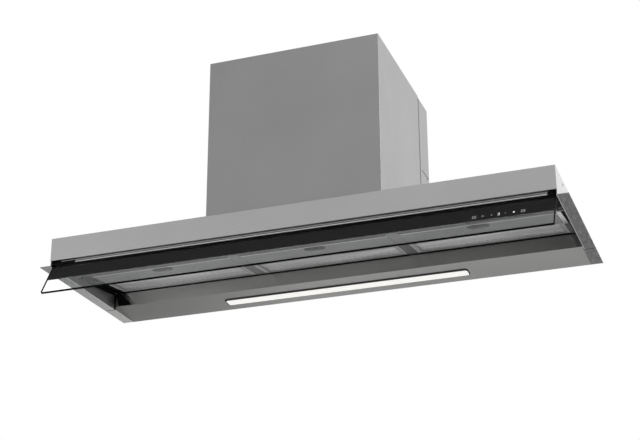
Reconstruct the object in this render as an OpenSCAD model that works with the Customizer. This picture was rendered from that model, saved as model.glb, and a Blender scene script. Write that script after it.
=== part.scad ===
// Built-in pull-out range hood for a 90 cm wall cabinet, millimetres.
// X runs to the right, Y from the fascia's face to the back, Z up. Zero height is the underside
// of the side strips, and zero depth the front face of the fascia.
// The visor is drawn swung open.

/* [Canopy] */
// Width of the canopy between the cabinet's side panels
body_w = 862; // [860:1:1160]
// Depth from the fascia's face to the back of the canopy
body_d = 308; // [306:1:330]
// Height of the canopy above the underside of its strips
body_h = 50.7; // [50:0.1:60]
// Thickness of the folded sheet
sheet_t = 1.2; // [0.8:0.1:1.4]
// Width of the strip that covers the edge of a cabinet side panel
strip_w = 18; // [12:1:25]
// How far the strips stand in front of the fascia's face
strip_lead = 1.6; // [0:0.1:3]

/* [Fascia] */
// Thickness of the front bar's face
fascia_t = 1.5; // [1:0.1:2.5]
// Height of the front bar's lower edge
fascia_z = 10.6; // [10:0.1:14]
// Depth of the lip folded back under the front bar
fascia_lip = 6; // [3:0.1:7]

/* [Visor] */
// Depth of the visor's hinge axis
hinge_y = 17.3; // [17:0.1:19]
// Height of the visor's hinge axis
hinge_z = 7.5; // [7:0.1:8]
// Angle between the closed visor and the open one, in degrees
visor_open = 120; // [100:0.5:125]
// Width of the glass
glass_w = 857; // [840:1:857]
// Length of the glass from the hinge side to its free edge
glass_l = 76.9; // [70:0.1:78]
// Thickness of the glass
glass_t = 4; // [3:0.1:4.2]
// Distance from the hinge axis to the glass's outer face
glass_drop = 8; // [8:0.1:8.5]
// Length of the black band from the hinge axis
band_l = 44; // [30:0.1:60]
// Radius of the hinge pins
pin_r = 2.5; // [2:0.1:2.8]
// Length of the black end caps
cap_l = 13.5; // [10:0.1:16]

/* [Filters] */
// Distance from one filter's middle to the next
filter_pitch = 280; // [280:1:282]
// Width of a filter
filter_w = 259; // [250:1:259]
// Thickness of a filter
filter_t = 9; // [8:0.1:9.5]
// Depth of the filters' front edge, as a share of the canopy's depth
filter_share = 0.3263; // [0.315:0.0001:0.335]
// Height of the filters' front edge
filter_z = 15; // [14:0.1:16]
// Slope of the filters, in degrees
filter_slope = 7.06; // [6.8:0.01:7.2]
// Width of the smooth front border that holds the latch
front_border = 68; // [50:1:76]
// Width of a filter's side borders
side_border = 7; // [7:1:20]
// Width of a filter's rear border
rear_border = 7; // [7:1:14]
// Columns of mesh openings
mesh_cols = 14; // [8:1:14]
// Rows of mesh openings
mesh_rows = 4; // [2:1:4]
// Length of the oval latch recess
cup_l = 35; // [30:1:40]
// Travel of a latch
latch_travel = 4; // [3:0.1:4.5]

/* [Light] */
// Depth of the light tray from its front wall to the canopy's back, as a share of the canopy's
tray_share = 0.2357; // [0.228:0.0001:0.237]
// Height of the sloped panel's front edge
panel_z = 5.7; // [4:0.1:8]
// Length of the light opening
light_w = 451; // [300:1:600]
// Width of the light opening
light_d = 26; // [22:1:32]
// Distance from the tray's front wall to the middle of the light
light_y = 39.7; // [38:0.1:44]

/* [Motor box] */
// Width of the motor box
box_w = 303.5; // [300:0.5:330]
// Depth of the motor box's front face
box_y = 13.4; // [10:0.1:20]
// How far the motor box stands out behind the canopy
box_overhang = 8.2; // [6:0.1:12]
// Height of the motor box's top
box_z = 342.5; // [335:0.1:380]
// Depth of the rear cover, from its seam with the front wrap
rear_cover_d = 65.2; // [60:0.1:80]
// How far the rear cover's sides stand inside the front wrap's
box_inset = 1.6; // [1.5:0.1:2.5]

/* [Outlet] */
// Outer radius of the duct collar
collar_r = 75; // [75:0.5:78]
// Height of the duct collar above the motor box
collar_h = 45; // [35:1:60]
// Wall of the duct collar
collar_t = 2.5; // [2:0.1:3]
// Largest angle that a flap swings up, in degrees
flap_open = 70; // [60:1:72]

/* [Blower] */
// Place of the fan's axis, as a share of the motor box's depth
fan_share = 0.38507; // [0.38:0.00001:0.39]
// Height of the fan's axis
fan_z = 172; // [168:1:176]
// Outer radius of the impeller
fan_r = 72; // [68:0.5:74]
// Half the length of the impeller
fan_half = 52; // [46:0.5:53]
// Number of blades
blade_count = 36; // [24:1:40]
// Radius of the volute at its tongue
volute_r0 = 80; // [78:0.5:82]
// Radius of the volute at its outlet
volute_r1 = 112; // [108:0.5:114]
// Half the inside width of the volute
volute_half = 58; // [56:0.5:58]
// Wall of the volute
volute_t = 2; // [1.6:0.1:2.4]
// Radius of the two inlets
inlet_r = 58; // [56:0.5:59]
// Radius of the motor's can
motor_r = 40; // [36:0.5:44]
// Radius of the motor's shaft
shaft_r = 4; // [3:0.1:5]

/* [Hidden] */
$fn = 64;

// Shared clearances
cut = 1;
gap = 0.3;
fit = 0.05;
full_turn = 360;
quarter = full_turn / 4;

// Canopy
front_y = fascia_t;
filter_y = body_d * filter_share;
tray_d = body_d * tray_share;
tray_y = body_d - tray_d;
half_w = body_w / 2;
inner_half = half_w - sheet_t;
front_wall_z = fascia_z + sheet_t + gap;
back_wall_z = 14;
seam_gap = 0.6;
air_w = 256;
air_y = 50;
air_rear_in = 78;
fix_hole_r = 2.75;
fix_z = 42;
fix_y0 = 60;
fix_rear_in = 88;

// Cross plate behind the fascia
plate_y = 24;
plate_gap = 1.5;
plate_back = filter_y - plate_gap;
plate_front_h = 20;
plate_back_h = 9;
plate_slot_w = 8;
plate_slot_d = 3;
plate_slot_in = 11;
plate_slot_back = 12;

// Filters, from each filter's own lower front edge
filter_back = tray_y - 2;
filter_l = (filter_back - filter_y) / cos(filter_slope);
frame_skin = 1.5;
rim_w = 6;
mesh_in = 3;
mesh_t = 4;
mesh_web = 2.2;
cup_d = 10;
cup_y = 14;
cup_h = 7;
cup_wall = 1.5;
tongue_w = 20;
tongue_z = 3.3;
tongue_t = 2.4;
tongue_out = plate_gap - gap - (tongue_z + tongue_t) * sin(filter_slope);
finger_w = 24;
finger_t = 4;
finger_z = 0.8;
finger_h = 5.9;
tab_w = 20;
tab_x = 80;
tab_out = 3.2;
tab_in = rear_border - mesh_in - gap;
tab_z = 0.9;
tab_t = 1.5;
bar_t = 3;
rail_w = 7.7;
rib_w = 8;
rib_h = 6;

// Visor, from the hinge axis, as it lies when closed
glass_start = 1;
glass_corner = 2;
barrel_r = 3.8;
lip_t = 1;
lip_l = 7;
cap_lip_l = 8;
heel = 1.2;
carrier_t = 1.5;
carrier_start = 5.4;
web_l = 5;
web_top = 1;
cap_half = glass_w / 2;
rail_half = cap_half - cap_l;
pin_flange_r = 4.5;
pin_in = 1;
touch_x = 341.5;
touch_w = 104;
touch_y = 14;
touch_d = 27;
touch_h = 4;
touch_wall = 1.2;
board_t = 1.6;

// Catch blocks under the cross plate
catch_w = 13.5;
catch_y = 30;
catch_l = 44;
catch_z = 6.4;
catch_ribs = 7;
catch_rib_t = 2;
catch_rib_in = 1.6;
magnet_r = 4;
magnet_t = 3;
magnet_back = 8;

// Light
tray_half = inner_half - gap;
tray_slope = atan(panel_z / tray_d);
light_corner = 6;
gasket_side = 2;
gasket_front = 5.5;
gasket_rear = 0.8;
gasket_proud = 1;
gasket_h = 4;
lens_t = 2.6;
profile_t = 1.5;
profile_h = 13;
led_board_w = 14;
led_pitch = 22;
led_size = 3.4;
led_h = 1;
driver_x = 250;
driver_w = 120;
driver_rear_in = 10;
driver_d = 40;
driver_h = 20;

// Motor box
box_half = box_w / 2;
box_back = body_d + box_overhang;
box_seam = box_back - rear_cover_d;
fan_y = box_y + (box_back - box_y) * fan_share;
box_flange = 12;
box_lap = 8;
rear_half = box_half - box_inset;
slot_rear_in = 3.2;
slot_l = 45;
slot_y = box_back - slot_rear_in - slot_l;
slot_hole_in = 10;
slot_z = 203.4;
slot_h = 1.6;
slot_hole_r = 2;

// Outlet
throat_in = 28;
throat_pad = 8;
collar_y = fan_y + (throat_in + volute_r1) / 2;
bore_r = collar_r - collar_t;
base_half = 86;
base_t = 1.5;
base_corner = 10;
axle_r = 2;
axle_up = 14;
flap_t = 1.5;
flap_r = bore_r - 1.2;
flap_root = 4.2;
knuckle_r = 3.5;
knuckle_pitch = 30;
knuckle_l = knuckle_pitch - 2 * gap;
flap_front_places = [-2 * knuckle_pitch, 0];
flap_rear_places = [-knuckle_pitch, knuckle_pitch];
ledge_w = 3;
ledge_t = 1.5;
screw_r = 2;
head_r = 3.8;
head_h = 2;
screw_l = 7;
screw_in = 76;

// Blower
tongue_a = 70;
volute_step = 10;
join_w = 5;
join_t = 2.5;
blade_t = 1;
blade_in = 60;
blade_sweep = 14;
ring_t = 2.5;
disc_t = 5;
hub_r = 13;
hub_half = 9;
bell_r = 5;
motor_x = 14;
motor_l = 57;
shaft_out = 9;
shaft_back = 3;
motor_step = 3;
motor_end_l = 11;
fin_count = 12;
fin_depth = 5;
fin_w = 2;
arm_w = 9;
arm_t = 3;
arm_ring_in = 16;
arm_ring_out = 30;
arm_angles = [30, 150, 270];
post_r = 77;
post_w = 8;
cap_can_r = 15;
cap_can_h = 55;
cap_can_in = 51.75;
cap_can_x = cap_can_in - box_half;
cap_can_z = 90;
clip_t = 2;
clip_w = 40;
clip_d = 7;
clip_h = 18;
clip_up = 18;

// Electrics on the canopy
elec_x = 200;
elec_w = 130;
elec_rear_in = 23;
elec_d = 105;
elec_y = body_d - elec_rear_in - elec_d;
elec_h = 34;
elec_wall = 2;
elec_corner = 5;
cover_t = 2;
board_lift = 6;
board_in = 4;
board_rear_gap = 12;
relay_count = 3;
relay_w = 15;
relay_d = 19;
relay_h = 14;
gland_x = 232;
gland_z = 18;
gland_r = 8;
gland_nut_r = 11;
gland_nut_l = 5;
gland_l = 18;
gland_bore = 3.6;

// Points on an arc from angle a0 to a1
function arc_points(cx, cy, r, a0, a1, steps) =
    [for (i = [0 : steps]) [
        cx + r * cos(a0 + (a1 - a0) * i / steps),
        cy + r * sin(a0 + (a1 - a0) * i / steps)
    ]];

// Rectangle with round corners, centred
module rounded_plate(w, d, r) {
    steps = 6;
    polygon(concat(
        arc_points(w / 2 - r, d / 2 - r, r, 0, quarter, steps),
        arc_points(r - w / 2, d / 2 - r, r, quarter, 2 * quarter, steps),
        arc_points(r - w / 2, r - d / 2, r, 2 * quarter, 3 * quarter, steps),
        arc_points(w / 2 - r, r - d / 2, r, 3 * quarter, full_turn, steps)
    ));
}

// A profile drawn in depth and height, run along X from x0 for length w
module along_x(x0, w) {
    translate([x0, 0, 0])
        rotate([90, 0, 90])
            linear_extrude(w)
                children();
}

// The right-hand shape as drawn, or its left-hand twin
module sided(side) {
    mirror([side < 0 ? 1 : 0, 0, 0])
        children();
}

// Frame of a filter: its lower front edge, its slope
module on_filter(index) {
    translate([index * filter_pitch, filter_y, filter_z])
        rotate([filter_slope, 0, 0])
            children();
}

// Frame of the visor: drawn closed about its hinge axis, then swung open
module on_visor() {
    translate([0, hinge_y, hinge_z])
        rotate([-visor_open, 0, 0])
            children();
}

// Frame of the sloped light panel, its front edge at zero
module on_panel() {
    translate([0, tray_y, panel_z])
        rotate([-tray_slope, 0, 0])
            children();
}

// Frame of the fan: profile in depth and height about the fan's axis
module on_fan(x0, w) {
    translate([0, fan_y, fan_z])
        along_x(x0, w)
            children();
}

module canopy_top() {
    color("#a3a5a5")
        difference() {
            along_x(-inner_half, 2 * inner_half)
                polygon([
                    [front_y, front_wall_z],
                    [front_y, body_h],
                    [body_d, body_h],
                    [body_d, back_wall_z],
                    [body_d - sheet_t, back_wall_z],
                    [body_d - sheet_t, body_h - sheet_t],
                    [front_y + sheet_t, body_h - sheet_t],
                    [front_y + sheet_t, front_wall_z]
                ]);
            translate([-air_w / 2, air_y, body_h - sheet_t - cut])
                cube([air_w, body_d - air_rear_in - air_y, sheet_t + 2 * cut]);
        }
}

module end_panel(side) {
    color("#8d8f90")
        sided(side)
            difference() {
                union() {
                    along_x(inner_half, sheet_t)
                        polygon([
                            [front_y, 0],
                            [tray_y - seam_gap, 0],
                            [tray_y - seam_gap, sheet_t + gap],
                            [body_d, sheet_t + gap],
                            [body_d, body_h],
                            [front_y, body_h]
                        ]);
                    translate([half_w - sheet_t, -strip_lead, 0])
                        cube([strip_w + sheet_t, tray_y - seam_gap + strip_lead, sheet_t]);
                }
                for (y = [fix_y0, body_d - fix_rear_in])
                    translate([inner_half - cut, y, fix_z])
                        rotate([0, 90, 0])
                            cylinder(h = sheet_t + 2 * cut, r = fix_hole_r);
                translate([inner_half - cut, hinge_y, hinge_z])
                    rotate([0, 90, 0])
                        cylinder(h = sheet_t + 2 * cut, r = pin_r + fit);
            }
}

module fascia() {
    lip_half = inner_half - gap;
    color("#a4a6a6") {
        translate([-half_w, 0, fascia_z])
            cube([body_w, fascia_t, body_h - fascia_z]);
        translate([-lip_half, 0, fascia_z])
            cube([2 * lip_half, fascia_lip, sheet_t]);
    }
}

module front_plate() {
    color("#77797a")
        difference() {
            along_x(-inner_half, 2 * inner_half)
                polygon([
                    [plate_y, filter_z],
                    [plate_back, filter_z],
                    [plate_back, filter_z + plate_back_h],
                    [plate_back - sheet_t, filter_z + plate_back_h],
                    [plate_back - sheet_t, filter_z + sheet_t],
                    [plate_y + sheet_t, filter_z + sheet_t],
                    [plate_y + sheet_t, filter_z + plate_front_h],
                    [plate_y, filter_z + plate_front_h]
                ]);
            for (side = [-1, 1])
                sided(side)
                    translate([inner_half - plate_slot_in, plate_back - plate_slot_back, filter_z - cut])
                        cube([plate_slot_w, plate_slot_d, sheet_t + 2 * cut]);
        }
}

// Outline of the light opening, shared by the tray, the gasket and the profile
module light_outline(grow) {
    translate([0, light_y])
        rounded_plate(light_w + 2 * grow, light_d + 2 * grow, light_corner);
}

// Height of the sloped panel's underside at depth y
function panel_under(y) = panel_z * (body_d - y) / tray_d;

module light_tray() {
    panel_half = tray_half - sheet_t;
    skin = sheet_t / cos(tray_slope);
    tray_top = filter_under(tray_y);
    rear_y = body_d - sheet_t;
    color("#94958f")
        difference() {
            union() {
                along_x(-panel_half, 2 * panel_half)
                    polygon([
                        [tray_y, tray_top],
                        [tray_y, panel_z],
                        [body_d, 0],
                        [body_d, back_wall_z - gap],
                        [rear_y, back_wall_z - gap],
                        [rear_y, panel_under(rear_y) + skin],
                        [tray_y + sheet_t, panel_under(tray_y + sheet_t) + skin],
                        [tray_y + sheet_t, tray_top]
                    ]);
                for (side = [-1, 1])
                    sided(side) {
                        translate([panel_half, tray_y, 0])
                            cube([sheet_t, rear_y - gap - tray_y, tray_top]);
                        translate([panel_half, tray_y + seam_gap, 0])
                            cube([half_w + strip_w - panel_half, body_d - tray_y - seam_gap, sheet_t]);
                    }
            }
            on_panel()
                translate([0, 0, -sheet_t - cut])
                    linear_extrude(3 * sheet_t + 2 * cut)
                        light_outline(0);
        }
}

// Section of the visor's rail and caps: a barrel on the axis, a web down to the glass and a lip
// that wraps the glass's edge
module rail_section(lip) {
    inner_face = glass_t - glass_drop;
    circle(r = barrel_r);
    translate([-heel, inner_face])
        square([web_l + heel, web_top - inner_face]);
    translate([-heel, -glass_drop - lip_t])
        square([heel + glass_start - gap, glass_drop + lip_t]);
    translate([-heel, -glass_drop - lip_t])
        square([heel + lip, lip_t]);
}

module visor_glass() {
    color("#c8d4d8", 0.35)
        on_visor()
            translate([0, glass_start + glass_l / 2, -glass_drop])
                linear_extrude(glass_t)
                    rounded_plate(glass_w, glass_l, glass_corner);
}

module band_carrier() {
    color("#161617")
        on_visor()
            translate([-cap_half, carrier_start, glass_t - glass_drop])
                cube([glass_w, band_l - carrier_start, carrier_t]);
}

module visor_rail() {
    color("#b9bbbc")
        on_visor()
            along_x(-rail_half, 2 * rail_half)
                rail_section(lip_l);
}

module end_cap(side) {
    color("#131313")
        sided(side)
            on_visor()
                difference() {
                    along_x(rail_half, cap_l)
                        rail_section(cap_lip_l);
                    translate([rail_half - cut, 0, 0])
                        rotate([0, 90, 0])
                            cylinder(h = cap_l + 2 * cut, r = pin_r + fit);
                }
}

module hinge_pin(side) {
    color("#c4c6c8")
        sided(side)
            translate([rail_half + pin_in, hinge_y, hinge_z])
                rotate([0, 90, 0]) {
                    cylinder(h = half_w - rail_half - pin_in, r = pin_r);
                    translate([0, 0, cap_half + gap - rail_half - pin_in])
                        cylinder(h = inner_half - cap_half - gap, r = pin_flange_r);
                }
}

module touch_board() {
    color("#1d4a32")
        on_visor()
            translate([touch_x - touch_w / 2 + 2 * touch_wall, touch_y + 2 * touch_wall, glass_t - glass_drop + carrier_t])
                cube([touch_w - 4 * touch_wall, touch_d - 4 * touch_wall, board_t]);
}

module touch_cover() {
    color("#1b1b1c")
        on_visor()
            translate([touch_x - touch_w / 2, touch_y, glass_t - glass_drop + carrier_t])
                difference() {
                    cube([touch_w, touch_d, touch_h]);
                    translate([touch_wall, touch_wall, -cut])
                        cube([touch_w - 2 * touch_wall, touch_d - 2 * touch_wall, touch_h - touch_wall + cut]);
                }
}

// Black block with ribs under the end of the cross plate
module catch_block(side) {
    step = (catch_l - catch_rib_t) / (catch_ribs - 1);
    color("#1a1a1a")
        sided(side)
            translate([inner_half - catch_w, catch_y, catch_z])
                difference() {
                    cube([catch_w, catch_l, filter_z - catch_z]);
                    for (i = [0 : catch_ribs - 2])
                        translate([-cut, i * step + catch_rib_t, -cut])
                            cube([catch_rib_in + cut, step - catch_rib_t, filter_z - catch_z + 2 * cut]);
                    translate([catch_w / 2, catch_l - magnet_back, -cut])
                        cylinder(h = magnet_t + cut, r = magnet_r + fit);
                }
}

module catch_magnets() {
    color("#9a9b9c")
        for (side = [-1, 1])
            sided(side)
                translate([inner_half - catch_w / 2, catch_y + catch_l - magnet_back, catch_z])
                    cylinder(h = magnet_t, r = magnet_r);
}

// Oval recess of the latch, seen from below
module cup_outline(grow) {
    rounded_plate(cup_l + 2 * grow, cup_d + 2 * grow, cup_d / 2 + grow);
}

module filter_frame(index) {
    win_w = filter_w - 2 * side_border;
    win_d = filter_l - front_border - rear_border;
    color("#a0a2a2")
        on_filter(index)
            difference() {
                union() {
                    difference() {
                        translate([-filter_w / 2, 0, 0])
                            cube([filter_w, filter_l, filter_t]);
                        translate([frame_skin - filter_w / 2, frame_skin, frame_skin])
                            cube([filter_w - 2 * frame_skin, filter_l - 2 * frame_skin, filter_t - 2 * frame_skin]);
                        translate([rim_w - filter_w / 2, rim_w, frame_skin])
                            cube([filter_w - 2 * rim_w, filter_l - 2 * rim_w, filter_t]);
                    }
                    translate([-cup_l / 2 - cup_wall, 0, 0])
                        cube([cup_l + 2 * cup_wall, cup_y + cup_d + cup_wall, cup_h + cup_wall]);
                    for (x = [-tab_x, tab_x])
                        translate([x - tab_w / 2, filter_l - tab_in, tab_z])
                            cube([tab_w, tab_in + tab_out, tab_t]);
                }
                translate([-win_w / 2, front_border, -cut])
                    cube([win_w, win_d, filter_t + 2 * cut]);
                translate([0, cup_y + cup_d / 2, -cut])
                    linear_extrude(cup_h + cut)
                        cup_outline(0);
                translate([-tongue_w / 2 - gap, -cut, tongue_z - gap])
                    cube([tongue_w + 2 * gap, cup_y + cup_d / 2 + cut, tongue_t + 2 * gap]);
            }
}

// Expanded sheet: rows of diamonds, each row shifted by half a pitch
module filter_mesh(index) {
    w = filter_w - 2 * side_border + 2 * (mesh_in - gap);
    d = filter_l - front_border - rear_border + 2 * (mesh_in - gap);
    pitch_x = (w - 2 * mesh_in) / mesh_cols;
    pitch_y = (d - 2 * mesh_in) / mesh_rows;
    color("#8f9191")
        on_filter(index)
            translate([0, front_border - mesh_in + gap + d / 2, frame_skin + gap])
                linear_extrude(mesh_t)
                    difference() {
                        square([w, d], center = true);
                        for (row = [0 : mesh_rows - 1])
                            for (col = [0 : mesh_cols - 1 - row % 2])
                                translate([
                                    (col + 0.5 + (row % 2) / 2 - mesh_cols / 2) * pitch_x,
                                    (row + 0.5 - mesh_rows / 2) * pitch_y
                                ])
                                    polygon([
                                        [mesh_web - pitch_x / 2, 0],
                                        [0, mesh_web - pitch_y / 2],
                                        [pitch_x / 2 - mesh_web, 0],
                                        [0, pitch_y / 2 - mesh_web]
                                    ]);
                    }
}

// Latch: a finger plate in the recess and a tongue that reaches the filter's front edge
module latch(index) {
    color("#3a3b3c")
        on_filter(index) {
            translate([-finger_w / 2, cup_y + gap, finger_z])
                cube([finger_w, finger_t, finger_h]);
            translate([-tongue_w / 2, -tongue_out, tongue_z])
                cube([tongue_w, tongue_out + cup_y + gap + finger_t / 2, tongue_t]);
        }
}

// Height of the filters' underside at depth y
function filter_under(y) = filter_z + (y - filter_y) * tan(filter_slope);

// Bar beside a filter, from the cross plate to the light tray
module bar_section(t) {
    polygon([
        [plate_back, filter_under(plate_back)],
        [tray_y, filter_under(tray_y)],
        [tray_y, filter_under(tray_y) + t],
        [plate_back, filter_under(plate_back) + t]
    ]);
}

module separator(side) {
    w = filter_pitch - filter_w - 2 * seam_gap;
    color("#5f6161")
        translate([side * filter_pitch / 2, 0, 0]) {
            along_x(-w / 2, w)
                bar_section(bar_t);
            along_x(-rib_w / 2, rib_w)
                bar_section(bar_t + rib_h);
        }
}

module side_rail(side) {
    x0 = filter_pitch + filter_w / 2 + seam_gap;
    color("#b4b6b6")
        sided(side) {
            along_x(x0, rail_w)
                bar_section(bar_t);
            along_x(x0 + rail_w - sheet_t, sheet_t)
                bar_section(bar_t + rib_h);
        }
}

module led_profile() {
    grow = profile_t;
    color("#c3c5c6")
        on_panel()
            translate([0, 0, sheet_t])
                difference() {
                    linear_extrude(profile_h)
                        light_outline(grow);
                    translate([0, 0, -cut])
                        linear_extrude(profile_h - profile_t + cut)
                            light_outline(0);
                }
}

module led_board() {
    count = floor((light_w - 2 * led_pitch) / led_pitch);
    board_w = light_w - 2 * gasket_side - led_pitch;
    color("#e8e8e2")
        on_panel()
            translate([0, light_y, sheet_t + profile_h - profile_t - board_t]) {
                translate([-board_w / 2, -led_board_w / 2, 0])
                    cube([board_w, led_board_w, board_t]);
                for (i = [0 : count - 1])
                    translate([(i - (count - 1) / 2) * led_pitch - led_size / 2, -led_size / 2, -led_h])
                        cube([led_size, led_size, led_h + board_t / 2]);
            }
}

// Inner edge of the gasket, nearer the back because its front lip is the wide one
module lens_outline() {
    shift = (gasket_front - gasket_rear) / 2;
    w = light_w - 2 * gasket_side;
    d = light_d - gasket_front - gasket_rear;
    translate([0, light_y + shift])
        rounded_plate(w, d, light_corner - gasket_side);
}

module led_gasket() {
    color("#20211f")
        on_panel()
            translate([0, 0, -gasket_proud])
                difference() {
                    linear_extrude(gasket_h)
                        light_outline(-gap / 2);
                    translate([0, 0, -cut])
                        linear_extrude(gasket_h + 2 * cut)
                            lens_outline();
                }
}

module led_diffuser() {
    color("#f4f4ee")
        on_panel()
            translate([0, 0, -gasket_proud])
                linear_extrude(lens_t)
                    lens_outline();
}

module led_driver() {
    color("#d9dadb")
        translate([driver_x, body_d - driver_rear_in - driver_d, body_h - sheet_t - driver_h])
            cube([driver_w, driver_d, driver_h]);
}

module box_front() {
    color("#989a9a")
        difference() {
            translate([-box_half, box_y, body_h])
                cube([box_w, box_seam - box_y, box_z - body_h]);
            translate([sheet_t - box_half, box_y + sheet_t, body_h + sheet_t])
                cube([box_w - 2 * sheet_t, box_seam, box_z - body_h]);
            translate([sheet_t + box_flange - box_half, box_y + sheet_t + box_flange, body_h - cut])
                cube([box_w - 2 * (sheet_t + box_flange), box_seam, sheet_t + 2 * cut]);
        }
}

module box_rear() {
    y0 = box_seam - box_lap;
    floor_z = body_h + sheet_t;
    top_z = box_z - sheet_t - gap;
    color("#9a9c9c")
        difference() {
            translate([-rear_half, y0, floor_z])
                cube([2 * rear_half, box_back - y0, top_z - floor_z]);
            translate([sheet_t - rear_half, y0 - cut, floor_z + sheet_t])
                cube([2 * (rear_half - sheet_t), box_back - y0 - sheet_t + cut, top_z]);
            translate([sheet_t + box_flange - rear_half, y0 - cut, floor_z - cut])
                cube([
                    2 * (rear_half - sheet_t - box_flange),
                    box_back - y0 - sheet_t - box_flange + cut,
                    sheet_t + 2 * cut
                ]);
            for (side = [-1, 1])
                sided(side) {
                    translate([rear_half - sheet_t - cut, slot_y, slot_z - slot_h / 2])
                        cube([sheet_t + 2 * cut, slot_l, slot_h]);
                    translate([rear_half - sheet_t - cut, slot_y + slot_l - slot_hole_in, slot_z - slot_h - slot_hole_r])
                        rotate([0, 90, 0])
                            cylinder(h = sheet_t + 2 * cut, r = slot_hole_r);
                }
        }
}

module box_top() {
    color("#8f9191")
        difference() {
            translate([gap + sheet_t - box_half, box_y + sheet_t + gap, box_z - sheet_t])
                cube([box_w - 2 * (sheet_t + gap), box_back - box_y - sheet_t - gap, sheet_t]);
            translate([0, collar_y, box_z - sheet_t - cut])
                cylinder(h = sheet_t + 2 * cut, r = bore_r);
            for (x = [-screw_in, screw_in])
                for (y = [-screw_in, screw_in])
                    translate([x, collar_y + y, box_z - sheet_t - cut])
                        cylinder(h = sheet_t + 2 * cut, r = screw_r + fit);
        }
}

// Radius of the volute at angle a, from its tongue to its outlet
function volute_r(a) = volute_r0 + (volute_r1 - volute_r0) * (a - tongue_a) / (full_turn - tongue_a);

// Spiral outline with its outlet throat, about the fan's axis
function volute_outline(grow, first, top) = concat(
    [for (a = [first : volute_step : full_turn]) [
        (volute_r(a) + grow) * cos(a),
        (volute_r(a) + grow) * sin(a)
    ]],
    [[volute_r1 + grow, top], [throat_in - grow, top], [throat_in - grow, volute_r1]]
);

throat_top = box_z - sheet_t - fan_z;

// Right half of the volute with the flange that joins it to its twin
module scroll(side) {
    color("#6e7275")
        sided(side)
            difference() {
                union() {
                    on_fan(0, volute_half + volute_t)
                        polygon(volute_outline(volute_t, tongue_a + volute_step, throat_top));
                    on_fan(0, join_t)
                        polygon(volute_outline(volute_t + join_w, tongue_a + volute_step, throat_top));
                    translate([0, fan_y, fan_z])
                        rotate([0, 90, 0])
                            translate([0, 0, volute_half])
                                cylinder(h = volute_t + bell_r, r = inlet_r + volute_t);
                    translate([0, fan_y + throat_in - throat_pad, box_z - sheet_t - volute_t])
                        cube([
                            volute_half + throat_pad,
                            volute_r1 - throat_in + 2 * throat_pad,
                            volute_t
                        ]);
                }
                on_fan(-cut, volute_half + cut)
                    polygon(volute_outline(0, tongue_a, throat_top + cut));
                translate([0, fan_y, fan_z])
                    rotate([0, 90, 0])
                        translate([0, 0, volute_half - cut])
                            cylinder(h = volute_t + bell_r + 2 * cut, r = inlet_r);
            }
}

// One forward-curved blade, as a thin crescent between the inner and outer radius
module blade() {
    steps = 5;
    sweep_of = [for (i = [0 : steps]) blade_sweep * pow(i / steps, 2)];
    radius_of = [for (i = [0 : steps]) blade_in + (fan_r - blade_t - blade_in) * i / steps];
    half_a = blade_t / fan_r * full_turn / PI / 4;
    polygon(concat(
        [for (i = [0 : steps]) [
            radius_of[i] * cos(sweep_of[i] - half_a),
            radius_of[i] * sin(sweep_of[i] - half_a)
        ]],
        [for (i = [steps : -1 : 0]) [
            radius_of[i] * cos(sweep_of[i] + half_a),
            radius_of[i] * sin(sweep_of[i] + half_a)
        ]]
    ));
}

// Frame of the impeller: its axis along Z, its middle at zero, the right side up
module on_impeller(side) {
    sided(side)
        translate([0, fan_y, fan_z])
            rotate([quarter, 0, quarter])
                children();
}

module impeller_disc() {
    color("#2f3234")
        on_impeller(1)
            difference() {
                union() {
                    translate([0, 0, -disc_t / 2])
                        cylinder(h = disc_t, r = fan_r);
                    translate([0, 0, -hub_half])
                        cylinder(h = 2 * hub_half, r = hub_r);
                }
                translate([0, 0, -hub_half - cut])
                    cylinder(h = 2 * hub_half + 2 * cut, r = shaft_r + fit);
            }
}

module impeller_ring(side) {
    color("#2f3234")
        on_impeller(side)
            translate([0, 0, fan_half - ring_t])
                difference() {
                    cylinder(h = ring_t, r = fan_r);
                    translate([0, 0, -cut])
                        cylinder(h = ring_t + 2 * cut, r = blade_in);
                }
}

// Half of the blades, from the disc to the ring on that side
module impeller_blades(side) {
    color("#34383a")
        translate([0, fan_y, fan_z])
            rotate([quarter, 0, quarter])
                for (i = [0 : blade_count - 1])
                    rotate([0, 0, i * full_turn / blade_count])
                        translate([0, 0, side > 0 ? disc_t / 2 : ring_t - fan_half])
                            linear_extrude(fan_half - ring_t - disc_t / 2)
                                blade();
}

module motor() {
    color("#85898c")
        translate([motor_x, fan_y, fan_z])
            rotate([90, 0, 90])
                difference() {
                    union() {
                        cylinder(h = motor_l, r = motor_r - motor_step);
                        translate([0, 0, motor_end_l])
                            cylinder(h = motor_l - 2 * motor_end_l, r = motor_r);
                    }
                    translate([0, 0, -cut])
                        cylinder(h = motor_l + 2 * cut, r = shaft_r + fit);
                    for (i = [0 : fin_count - 1])
                        rotate([0, 0, i * full_turn / fin_count])
                            translate([motor_r - fin_depth, -fin_w / 2, motor_end_l + fin_w])
                                cube([fin_depth + cut, fin_w, motor_l - 2 * (motor_end_l + fin_w)]);
                }
}

module motor_shaft() {
    color("#cfd1d3")
        translate([-hub_half - shaft_back, fan_y, fan_z])
            rotate([0, 90, 0])
                cylinder(h = hub_half + shaft_back + motor_x + motor_l + shaft_out, r = shaft_r);
}

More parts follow.
